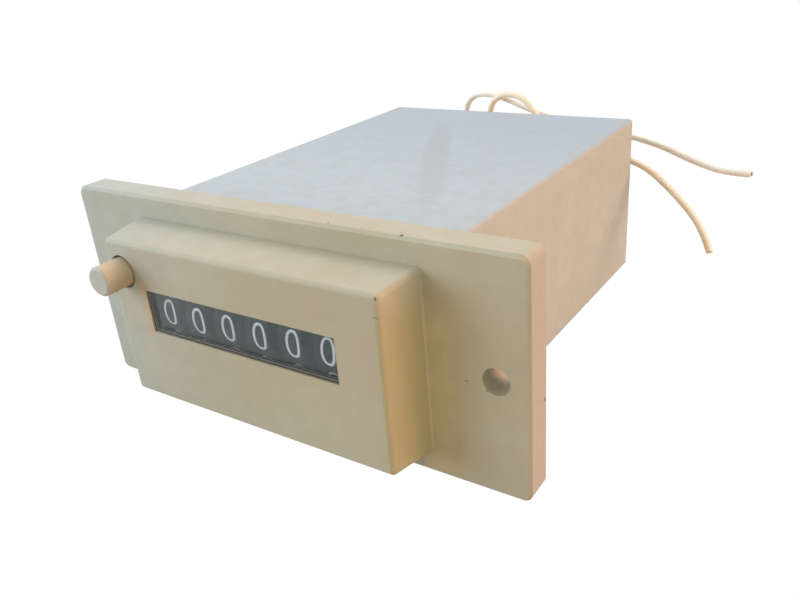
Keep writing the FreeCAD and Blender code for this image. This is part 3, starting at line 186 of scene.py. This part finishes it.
class Finish:
    """A material under way: its shader, its object coordinates, and the nodes that feed them."""

    def __init__(self, name, roughness, metal=0.0, ior=1.5):
        self.material = bpy.data.materials.new(name)
        self.material.use_nodes = True
        self.tree = self.material.node_tree
        self.shader = self.tree.nodes["Principled BSDF"]
        self.where = self.add("ShaderNodeTexCoord").outputs["Object"]
        self.set("Roughness", roughness)
        self.set("Metallic", metal)
        self.set("IOR", ior)

    def add(self, kind):
        return self.tree.nodes.new(kind)

    def join(self, source, target):
        self.tree.links.new(source, target)

    def set(self, socket, value):
        self.shader.inputs[socket].default_value = value

    def feed(self, socket, source):
        self.join(source, self.shader.inputs[socket])

    def placed(self, place=(0, 0, 0), turn=(0, 0, 0), scale=(1, 1, 1)):
        """The piece's own coordinates about a point, turned and stretched."""
        mapping = self.add("ShaderNodeMapping")
        mapping.vector_type = "TEXTURE"
        mapping.inputs["Location"].default_value = [p * MM for p in place]
        mapping.inputs["Rotation"].default_value = [math.radians(t) for t in turn]
        mapping.inputs["Scale"].default_value = scale
        self.join(self.where, mapping.inputs["Vector"])
        return mapping.outputs["Vector"]

    def clouds(self, size_mm, detail=3.0, rough=0.55, at=None):
        noise = self.add("ShaderNodeTexNoise")
        noise.inputs["Scale"].default_value = 1 / (size_mm * MM)
        noise.inputs["Detail"].default_value = detail
        noise.inputs["Roughness"].default_value = rough
        self.join(at or self.where, noise.inputs["Vector"])
        return noise.outputs["Fac"]

    def cells(self, size_mm, at=None):
        cells = self.add("ShaderNodeTexVoronoi")
        cells.inputs["Scale"].default_value = 1 / (size_mm * MM)
        self.join(at or self.where, cells.inputs["Vector"])
        return cells.outputs["Distance"]

    def spread(self, source, low, high, to_low=0.0, to_high=1.0):
        span = self.add("ShaderNodeMapRange")
        span.interpolation_type = "SMOOTHSTEP"
        for socket, value in (("From Min", low), ("From Max", high), ("To Min", to_low), ("To Max", to_high)):
            span.inputs[socket].default_value = value
        self.join(source, span.inputs["Value"])
        return span.outputs["Result"]

    def combine(self, first, second, operation):
        node = self.add("ShaderNodeMath")
        node.operation = operation
        for socket, value in zip(node.inputs, (first, second)):
            if isinstance(value, (int, float)):
                socket.default_value = value
            else:
                self.join(value, socket)
        return node.outputs["Value"]

    def within(self, spans):
        """A share that grows from 0 to 1 along each axis named, between the two places given with it."""
        places = self.add("ShaderNodeSeparateXYZ")
        self.join(self.where, places.inputs[0])
        share = 1.0
        for axis, start, end in spans:
            share = self.combine(self.spread(places.outputs[axis], start * MM, end * MM), share, "MULTIPLY")
        return share

    def tint(self, share, first, second):
        """One colour going over into another by a share."""
        mix = self.add("ShaderNodeMix")
        mix.data_type = "RGBA"
        factor, a, b = mix.inputs[0], mix.inputs[6], mix.inputs[7]
        for socket, value in ((factor, share), (a, first), (b, second)):
            if isinstance(value, bpy.types.NodeSocket):
                self.join(value, socket)
            else:
                socket.default_value = value if isinstance(value, (int, float)) else (*value, 1)
        return mix.outputs[2]

    def relief(self, height, depth_mm, strength=1.0, over=None):
        bump = self.add("ShaderNodeBump")
        bump.inputs["Distance"].default_value = depth_mm * MM
        bump.inputs["Strength"].default_value = strength
        self.join(height, bump.inputs["Height"])
        if over is not None:
            self.join(over, bump.inputs["Normal"])
        return bump.outputs["Normal"]

    def fleck(self, place, size_mm, turn=(0, 0, 0), stretch=(1, 1, 1)):
        """A soft-edged spot at one place on the piece, or a scratch where it is stretched."""
        length = self.add("ShaderNodeVectorMath")
        length.operation = "LENGTH"
        self.join(self.placed(place, turn, stretch), length.inputs[0])
        return self.spread(length.outputs["Value"], size_mm * 0.55 * MM, size_mm * MM, 1.0, 0.0)


def moulded(name, light, mid, dark, shine=(0.42, 0.56), gloss=0.25, flecks=(), stain_and_shade=(0.25, 0.22, 0.17),
            painted_light_tints=()):
    """Moulded plastic: uneven ageing, tints of painted light and shade, a fine spark-eroded grain, and a few
    dark flecks or streaks of painted shade.
    """
    plastic = Finish(name, sum(shine) / 2)
    plastic.set("Specular IOR Level", gloss)
    aged = plastic.spread(plastic.clouds(17, 3, 0.6), 0.36, 0.66)
    mottled = plastic.spread(plastic.clouds(2.6, 4, 0.6), 0.35, 0.7)
    colour = plastic.tint(aged, light, mid)
    # Tints of painted light and shade laid over the aged colour.
    for painted_colour, spans in painted_light_tints:
        colour = plastic.tint(plastic.within(spans), colour, painted_colour)
    colour = plastic.tint(plastic.combine(mottled, 0.35, "MULTIPLY"), colour, dark)
    specks = plastic.combine(plastic.spread(plastic.cells(1.9), 0.022, 0.04, 1.0, 0.0),
                             plastic.spread(plastic.clouds(6, 2), 0.5, 0.62), "MULTIPLY")
    marks = plastic.combine(specks, 0.45, "MULTIPLY")
    # The flecks hold real marks and, on the housing, a streak of painted shade, both darkened towards the
    # given dark colour.
    for place, size, turn, stretch, strength in flecks:
        fleck = plastic.combine(plastic.fleck(place, size, turn, stretch), strength, "MULTIPLY")
        marks = plastic.combine(marks, fleck, "MAXIMUM")
    plastic.feed("Base Color", plastic.tint(marks, colour, stain_and_shade))
    plastic.feed("Roughness", plastic.spread(plastic.clouds(0.9, 4), 0.3, 0.7, *shine))
    fine = plastic.relief(plastic.clouds(0.16, 2, 0.5), 0.012, 0.5)
    waves = plastic.relief(plastic.clouds(7, 2, 0.5), 0.05, 0.25, fine)
    plastic.feed("Normal", plastic.relief(marks, -0.05, 0.6, waves))
    return plastic


def metal(name, colour, second, roughness, brushed=(1, 1, 1)):
    """Bright metal with fine drawn lines and a little uneven tarnish."""
    piece = Finish(name, roughness, 1.0)
    lines = piece.clouds(0.1, 3, 0.6, piece.placed(scale=brushed))
    piece.feed("Base Color", piece.tint(piece.spread(piece.clouds(2.2, 4), 0.35, 0.7), colour, second))
    piece.feed("Roughness", piece.spread(lines, 0.3, 0.7, roughness * 0.75, roughness * 1.3))
    piece.feed("Normal", piece.relief(lines, 0.004, 0.4))
    return piece


def insulation(name, colour, shade, roughness, cut_end):
    """Soft PVC on a lead: a slight sheen, handling marks, a faint waviness and dark wire in its cut end."""
    jacket = Finish(name, roughness)
    worn = jacket.spread(jacket.clouds(3.2, 2, 0.5), 0.38, 0.68)
    wire = jacket.fleck(cut_end, 0.42)
    jacket.feed("Base Color", jacket.tint(wire, jacket.tint(worn, colour, shade), (0.16, 0.14, 0.13)))
    sheen = (roughness * 0.85, roughness * 1.15)
    jacket.feed("Roughness", jacket.spread(jacket.clouds(0.5, 3), 0.3, 0.7, *sheen))
    jacket.feed("Normal", jacket.relief(jacket.clouds(1.6, 1, 0.5), 0.01, 0.3))
    return jacket


def clear_window(name):
    """Acrylic gone very slightly hazy, with fine rubbing marks and an opaque dark line of painted shadow
    along two edges.
    """
    pane = Finish(name, 0.06, ior=1.49)
    haze = pane.spread(pane.clouds(3.5, 4, 0.6), 0.35, 0.7)
    # Painted shadow along the lower and left edges: a dark colour, and no light passing through.
    shadow_line = pane.combine(pane.within(SHADOW_LINE_BELOW), pane.within(SHADOW_LINE_AT_LEFT), "MAXIMUM")
    clear = pane.tint(haze, (0.93, 0.97, 1.0), (0.9, 0.95, 0.99))
    pane.feed("Base Color", pane.tint(shadow_line, clear, (0.045, 0.032, 0.022)))
    pane.set("Specular Tint", (0.44, 0.6, 0.56, 1.0))
    clearness = pane.spread(haze, 0.0, 1.0, 0.995, 0.985)
    free = pane.spread(shadow_line, 0.0, 1.0, 1.0, 0.0)
    pane.feed("Transmission Weight", pane.combine(clearness, free, "MULTIPLY"))
    pane.feed("Roughness", pane.spread(pane.clouds(0.7, 5), 0.45, 0.8, 0.03, 0.16))
    pane.feed("Normal", pane.relief(pane.clouds(0.25, 3, 0.5, pane.placed(scale=(5, 1, 0.4))), 0.002, 0.3))
    return pane


def taped_coil(name):
    """Polyester tape round the winding, in overlapping bands."""
    tape = Finish(name, 0.35)
    band = tape.add("ShaderNodeTexWave")
    band.bands_direction = "Y"
    band.inputs["Scale"].default_value = 45
    band.inputs["Distortion"].default_value = 0.6
    tape.join(tape.where, band.inputs["Vector"])
    tape.feed("Base Color", tape.tint(band.outputs["Fac"], (0.62, 0.4, 0.1), (0.5, 0.29, 0.06)))
    tape.feed("Roughness", tape.spread(tape.clouds(1, 3), 0.3, 0.7, 0.28, 0.45))
    tape.feed("Normal", tape.relief(band.outputs["Fac"], 0.03, 0.4))
    return tape


def dress(finishes):
    """Gives each carried-over node its finish."""
    for names, finish in finishes:
        for name in names:
            slots = NODES[name].data.materials
            slots.clear()
            slots.append(finish.material)


def arc(middle, radii, start, end, steps):
    """Points along part of an oval, angles in degrees from the right and turning up."""
    angles = (math.radians(start + (end - start) * n / steps) for n in range(steps + 1))
    return [(middle[0] + radii[0] * math.cos(a), middle[1] + radii[1] * math.sin(a)) for a in angles]


def digit_strokes():
    """Each digit as strokes in a box from -0.5 to 0.5 across and up, with True where a stroke closes."""
    oval = [(0.5 * abs(math.cos(t)) ** 0.8 * math.copysign(1, math.cos(t)),
             0.5 * abs(math.sin(t)) ** 0.9 * math.copysign(1, math.sin(t)))
            for t in (2 * math.pi * n / 48 for n in range(48))]
    upper, lower = ((0, 0.25), (0.44, 0.25)), ((0, -0.23), (0.5, 0.27))
    return (
        [(oval, True)],
        [([(-0.26, 0.33), (0.08, 0.5), (0.08, -0.5)], False)],
        [(arc((0, 0.24), (0.48, 0.26), 165, -28, 16) + [(-0.5, -0.5), (0.5, -0.5)], False)],
        [(arc(*upper, 150, -80, 16), False), (arc(*lower, 80, -150, 18), False)],
        [([(0.22, -0.5), (0.22, 0.5), (-0.5, -0.18), (0.5, -0.18)], False)],
        [([(0.42, 0.5), (-0.36, 0.5), (-0.42, 0.04)] + arc((0, -0.2), (0.5, 0.3), 135, -150, 20), False)],
        [(arc((0, -0.2), (0.5, 0.3), 180, 540, 28), True),
         ([(-0.5, -0.2)] + arc((0.16, 0.0), (0.66, 0.5), 180, 75, 14), False)],
        [([(-0.5, 0.5), (0.5, 0.5), (-0.14, -0.5)], False)],
        [(arc(*upper, 0, 360, 26), True), (arc(*lower, 0, 360, 28), True)],
        [(arc((0, 0.2), (0.5, 0.3), 0, 360, 28), True),
         ([(0.5, 0.2)] + arc((-0.16, 0.0), (0.66, 0.5), 0, -105, 14), False)],
    )


def new_tree(name, output, inputs):
    """A Geometry Nodes tree with named inputs and one geometry output."""
    tree = bpy.data.node_groups.new(name, "GeometryNodeTree")
    for label, kind in inputs:
        tree.interface.new_socket(label, in_out="INPUT", socket_type="NodeSocket" + kind)
    tree.interface.new_socket(output, in_out="OUTPUT", socket_type="NodeSocketGeometry")
    return tree


def end_tree(tree, shape, output, finish):
    """Makes a tree's shape real geometry, coats it and gives it out."""
    real = tree.nodes.new("GeometryNodeRealizeInstances")
    tree.links.new(shape, real.inputs[0])
    coat = tree.nodes.new("GeometryNodeSetMaterial")
    coat.inputs["Material"].default_value = finish.material
    tree.links.new(real.outputs[0], coat.inputs["Geometry"])
    tree.links.new(coat.outputs[0], tree.nodes.new("NodeGroupOutput").inputs[output])


def run_tree(made, tree, values):
    """Puts a tree on an object, with a value for each of its named inputs."""
    modifier = made.modifiers.new(tree.name, "NODES")
    modifier.node_group = tree
    sockets = {item.name: item.identifier for item in tree.interface.items_tree if item.in_out == "INPUT"}
    for name, value in values:
        modifier[sockets[name]] = value


def wrap_tree(finish):
    """Nodes that lay flat strokes out as thin print round a wheel's rim."""
    sizes = ("Stroke Width", "Print Depth", "Rim Radius", "Wheel Place", "Axis Forward", "Axis Up")
    inputs = [("Strokes", "Geometry")] + [(size, "Float") for size in sizes]
    tree = new_tree("print_round_rim", "Print", inputs)

    def add(kind, **settings):
        node = tree.nodes.new(kind)
        for key, value in settings.items():
            setattr(node, key, value)
        return node

    def join(source, target):
        tree.links.new(source, target)

    def math_node(operation, first, second=None):
        node = add("ShaderNodeMath", operation=operation)
        for socket, value in zip(node.inputs, (first, second)):
            if isinstance(value, (int, float)):
                socket.default_value = value
            elif value is not None:
                join(value, socket)
        return node.outputs[0]

    given = add("NodeGroupInput").outputs
    section = add("GeometryNodeCurvePrimitiveQuadrilateral")
    join(given["Print Depth"], section.inputs["Height"])
    join(given["Stroke Width"], section.inputs["Width"])
    ribbon = add("GeometryNodeCurveToMesh")
    ribbon.inputs["Fill Caps"].default_value = True
    join(given["Strokes"], ribbon.inputs["Curve"])
    join(section.outputs["Curve"], ribbon.inputs["Profile Curve"])
    place = add("ShaderNodeSeparateXYZ")
    join(add("GeometryNodeInputPosition").outputs[0], place.inputs[0])
    across, along, out = place.outputs
    angle = math_node("DIVIDE", along, given["Rim Radius"])
    reach = math_node("ADD", given["Rim Radius"], out)
    ahead = math_node("MULTIPLY", reach, math_node("COSINE", angle))
    forward = math_node("SUBTRACT", given["Axis Forward"], ahead)
    up = math_node("ADD", given["Axis Up"], math_node("MULTIPLY", reach, math_node("SINE", angle)))
    wrapped = add("ShaderNodeCombineXYZ")
    join(math_node("ADD", across, given["Wheel Place"]), wrapped.inputs[0])
    join(forward, wrapped.inputs[1])
    join(up, wrapped.inputs[2])
    bend = add("GeometryNodeSetPosition")
    join(ribbon.outputs["Mesh"], bend.inputs["Geometry"])
    join(wrapped.outputs[0], bend.inputs["Position"])
    end_tree(tree, bend.outputs[0], "Print", finish)
    return tree


def settle(made, name):
    """The evaluated result as a plain mesh piece at the origin."""
    bpy.context.view_layer.update()
    mesh = bpy.data.meshes.new_from_object(made.evaluated_get(bpy.context.evaluated_depsgraph_get()))
    mesh.name = name
    bpy.data.objects.remove(made)
    return add_object(name, mesh)


def coil_tree(finish):
    """Nodes that wind a round-wire spring up its own axis, then turn and place it."""
    tree = new_tree("wound_spring", "Spring", (
        ("Turns", "Float"), ("Length", "Float"), ("Coil Radius", "Float"), ("Wire Radius", "Float"),
        ("Place", "Vector"), ("Turn", "Vector")))
    add, join = tree.nodes.new, tree.links.new
    given = add("NodeGroupInput").outputs
    winding = add("GeometryNodeCurveSpiral")
    winding.inputs["Resolution"].default_value = 24
    for name, socket in (("Turns", "Rotations"), ("Length", "Height"), ("Coil Radius", "Start Radius"),
                         ("Coil Radius", "End Radius")):
        join(given[name], winding.inputs[socket])
    wire = add("GeometryNodeCurvePrimitiveCircle")
    wire.inputs["Resolution"].default_value = 10
    join(given["Wire Radius"], wire.inputs["Radius"])
    sweep = add("GeometryNodeCurveToMesh")
    sweep.inputs["Fill Caps"].default_value = True
    join(winding.outputs[0], sweep.inputs["Curve"])
    join(wire.outputs[0], sweep.inputs["Profile Curve"])
    placed = add("GeometryNodeTransform")
    join(sweep.outputs[0], placed.inputs["Geometry"])
    join(given["Place"], placed.inputs["Translation"])
    join(given["Turn"], placed.inputs["Rotation"])
    end_tree(tree, placed.outputs[0], "Spring", finish)
    return tree


def wind_spring(tree, name, turns, length, radius, wire, place, turn):
    """A wound spring in place of the plain sleeve of the same name."""
    start = add_object(name + "_start", bpy.data.meshes.new(name + "_start"))
    run_tree(start, tree, (
        ("Turns", turns), ("Length", length * MM), ("Coil Radius", radius * MM),
        ("Wire Radius", wire / 2 * MM), ("Place", [p * MM for p in place]), ("Turn", turn)))
    spring = settle(start, name + "_coil")
    for face in spring.data.polygons:
        face.use_smooth = True
    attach(spring, "case")
    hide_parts(name)
    return spring


def print_numerals(finish):
    """The digits 0 to 9 round each wheel, 0 at the window and the next one above it."""
    tree = wrap_tree(finish)
    step = 2 * math.pi * RIM_RADIUS / 10
    wide, tall = DIGIT_WIDE - DIGIT_STROKE, DIGIT_TALL - DIGIT_STROKE
    middle = (len(WHEEL_BODIES) - 1) / 2
    for place, body in enumerate(WHEEL_BODIES):
        curve = bpy.data.curves.new("digit_strokes", "CURVE")
        curve.dimensions = "3D"
        for digit, strokes in enumerate(digit_strokes()):
            for points, closed in strokes:
                spline = curve.splines.new("POLY")
                spline.use_cyclic_u = closed
                points = points[:-1] if closed and points[0] == points[-1] else points
                spline.points.add(len(points) - 1)
                rise = digit * step + PRINT_RISE[place]
                for point, (across, up) in zip(spline.points, points):
                    point.co = (across * wide * MM, (up * tall + rise) * MM, PRINT_DEPTH * MM, 1)
        strip = add_object("digit_strip", curve)
        run_tree(strip, tree, (
            ("Stroke Width", DIGIT_STROKE * MM), ("Print Depth", PRINT_DEPTH * MM),
            ("Rim Radius", RIM_RADIUS * MM),
            ("Wheel Place", ((place - middle) * WHEEL_PITCH + DIGIT_SIDE) * MM),
            ("Axis Forward", WHEEL_AXIS[0] * MM), ("Axis Up", WHEEL_AXIS[1] * MM)))
        numerals = settle(strip, body.replace("_wheel", "_numerals"))
        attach(numerals, body)


def white_when_seen(tree, seen, lit):
    """One shader for what is seen straight, mirrored or through the window, and another for the light."""
    rays = tree.nodes.new("ShaderNodeLightPath").outputs
    share = rays["Is Camera Ray"]
    for other in ("Is Glossy Ray", "Is Transmission Ray"):
        either = tree.nodes.new("ShaderNodeMath")
        either.operation = "MAXIMUM"
        tree.links.new(share, either.inputs[0])
        tree.links.new(rays[other], either.inputs[1])
        share = either.outputs[0]
    mix = tree.nodes.new("ShaderNodeMixShader")
    tree.links.new(share, mix.inputs[0])
    tree.links.new(lit, mix.inputs[1])
    tree.links.new(seen, mix.inputs[2])
    return mix.outputs[0]


def set_stage():
    """A floor under the counter's resting edges that looks white, and a white room round it."""
    tilt = math.atan2(FLOOR_BACK[1] - FLOOR_FRONT[1], FLOOR_BACK[0] - FLOOR_FRONT[0])
    mesh = bpy.data.meshes.new("table_top")
    front, level = FLOOR_FRONT
    corners = [Vector((x, y * math.cos(tilt) + front, y * math.sin(tilt) + level)) * MM
               for x, y in ((-FLOOR_HALF, -FLOOR_HALF), (FLOOR_HALF, -FLOOR_HALF),
                            (FLOOR_HALF, FLOOR_HALF), (-FLOOR_HALF, FLOOR_HALF))]
    mesh.from_pydata(corners, [], [(0, 1, 2, 3)])
    floor = add_object("table_top", mesh)
    paint = bpy.data.materials.new("table_white")
    paint.use_nodes = True
    tree = paint.node_tree
    shader = tree.nodes["Principled BSDF"]
    shader.inputs["Base Color"].default_value = (*FLOOR_COLOUR, 1)
    shader.inputs["Roughness"].default_value = 0.9
    shader.inputs["Specular IOR Level"].default_value = 0.0
    white = tree.nodes.new("ShaderNodeEmission")
    tree.links.new(white_when_seen(tree, white.outputs[0], shader.outputs[0]),
                   tree.nodes["Material Output"].inputs["Surface"])
    mesh.materials.append(paint)

    world = bpy.data.worlds.new("white_room")
    world.use_nodes = True
    tree = world.node_tree
    backs = []
    for colour, strength in (ROOM_SEEN, ROOM_LIGHT):
        back = tree.nodes.new("ShaderNodeBackground")
        back.inputs["Color"].default_value = (*colour, 1)
        back.inputs["Strength"].default_value = strength
        backs.append(back.outputs[0])
    tree.links.new(white_when_seen(tree, *backs), tree.nodes["World Output"].inputs["Surface"])
    bpy.context.scene.world = world


def hang_lamp(name, place, aim, size, power, colour):
    """A round soft lamp that faces its aim."""
    light = bpy.data.lights.new(name, "AREA")
    light.shape = "DISK"
    light.size = size
    light.energy = power
    light.color = colour
    lamp = add_object(name, light)
    lamp.location = place
    lamp.rotation_mode = "QUATERNION"
    lamp.rotation_quaternion = (Vector(aim) - Vector(place)).to_track_quat("-Z", "Y")


aim_camera()

white_lead = insulation("white_lead", (0.91, 0.9, 0.83), (0.85, 0.83, 0.75), 0.42, UPPER_ROUTE[-1])
cream_lead = insulation("cream_lead", (0.93, 0.82, 0.64), (0.89, 0.76, 0.57), 0.42, LOWER_ROUTE[-1])
run_lead("upper_lead", UPPER_ROUTE, white_lead.material)
run_lead("lower_lead", LOWER_ROUTE, cream_lead.material)

# The bezel's tints are painted light and shade: cool light at the left end and on the right edge, warm bounce
# light beside the box, shade on the box's side and warm light left of the window.
ivory = moulded("ivory_bezel", (0.5, 0.492, 0.378), (0.474, 0.452, 0.336), (0.432, 0.411, 0.305),
                flecks=BEZEL_MARKS, stain_and_shade=(0.09, 0.075, 0.06),
                painted_light_tints=(PAINTED_COOL_LIGHT_AT_LEFT, PAINTED_COOL_LIGHT_RIGHT_EDGE, PAINTED_BOUNCE_LIGHT_BESIDE_BOX, PAINTED_SHADE_ON_BOX_SIDE, PAINTED_WARM_LIGHT_LEFT_OF_WINDOW))
# The housing's tints are painted cool sky light on its top, and its flecks hold a streak of painted shade.
shell = moulded("grey_housing", (0.446, 0.49, 0.471), (0.421, 0.464, 0.432), (0.385, 0.419, 0.384),
                flecks=HOUSING_SHADE_STREAK, painted_light_tints=(PAINTED_SKY_LIGHT_ON_TOP, PAINTED_SKY_LIGHT_ON_TOP_REAR))
# The button's tint is painted shade on its end face.
knob = moulded("ivory_button", (0.56, 0.48, 0.35), (0.53, 0.455, 0.33), (0.48, 0.41, 0.29),
               painted_light_tints=(PAINTED_SHADE_ON_BUTTON_FACE,))
black = moulded("black_wheel", (0.014, 0.017, 0.019), (0.012, 0.014, 0.016), (0.009, 0.011, 0.012),
                shine=(0.55, 0.7), gloss=0.15, stain_and_shade=(0.04, 0.042, 0.042))
print_white = moulded("white_print", (0.83, 0.83, 0.78), (0.81, 0.81, 0.76), (0.77, 0.77, 0.72),
                      shine=(0.5, 0.6))
natural = moulded("natural_acetal", (0.7, 0.69, 0.64), (0.66, 0.65, 0.6), (0.6, 0.59, 0.54),
                  shine=(0.3, 0.4))
grey_comb = moulded("grey_nylon", (0.3, 0.3, 0.29), (0.27, 0.27, 0.26), (0.23, 0.23, 0.22))
bobbin = moulded("black_bobbin", (0.05, 0.05, 0.05), (0.04, 0.04, 0.04), (0.03, 0.03, 0.03))
rubber = moulded("black_rubber", (0.03, 0.03, 0.03), (0.025, 0.025, 0.025), (0.02, 0.02, 0.02),
                 shine=(0.6, 0.75))
pane = clear_window("clear_window")
tape = taped_coil("coil_tape")
ground = metal("ground_steel", (0.56, 0.57, 0.58), (0.5, 0.5, 0.51), 0.22, (1, 8, 8))
zinc = metal("zinc_plate", (0.62, 0.62, 0.6), (0.55, 0.54, 0.5), 0.34, (1, 6, 1))
brass = metal("yellow_brass", (0.72, 0.52, 0.22), (0.6, 0.42, 0.17), 0.28, (1, 1, 6))

dress((
    (("front_bezel",), ivory),
    (("rear_housing",), shell),
    (("reset_button",), knob),
    (("window_lens",), pane),
    (("number_wheel_units", "number_wheel_tens", "number_wheel_hundreds", "number_wheel_thousands",
      "number_wheel_ten_thousands", "number_wheel_hundred_thousands"), black),
    (("star_wheel", "transfer_pinion_1", "transfer_pinion_2", "transfer_pinion_3", "transfer_pinion_4",
      "transfer_pinion_5"), natural),
    (("wheel_shaft", "pinion_shaft", "reset_shaft", "armature_pivot_pin", "shaft_clips",
      "spacer_washer"), ground),
    (("left_side_plate", "right_side_plate", "frame_crossbars", "bezel_screws", "housing_screws",
      "reset_lever", "magnet_core", "magnet_yoke", "armature"), zinc),
    (("reset_comb",), grey_comb),
    (("coil_bobbin",), bobbin),
    (("coil_winding",), tape),
    (("terminal_pins",), brass),
    (("lead_grommet",), rubber),
    (("inner_leads",), white_lead),
))
print_numerals(print_white)
springs = coil_tree(ground)
push_spring = wind_spring(springs, "button_spring", turns=9.0, length=7.05, radius=1.58, wire=0.3,
                          place=BUTTON_SPRING_FOOT, turn=(math.pi / 2, 0, 0))
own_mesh(push_spring)
wind_spring(springs, "armature_spring", turns=14.0, length=7.2, radius=1.0, wire=0.32,
            place=ARMATURE_SPRING_FOOT, turn=(0.0, 0.0, 0.0))

set_stage()
for lamp in LAMPS:
    hang_lamp(*lamp)
bpy.context.scene.view_settings.view_transform = "Standard"
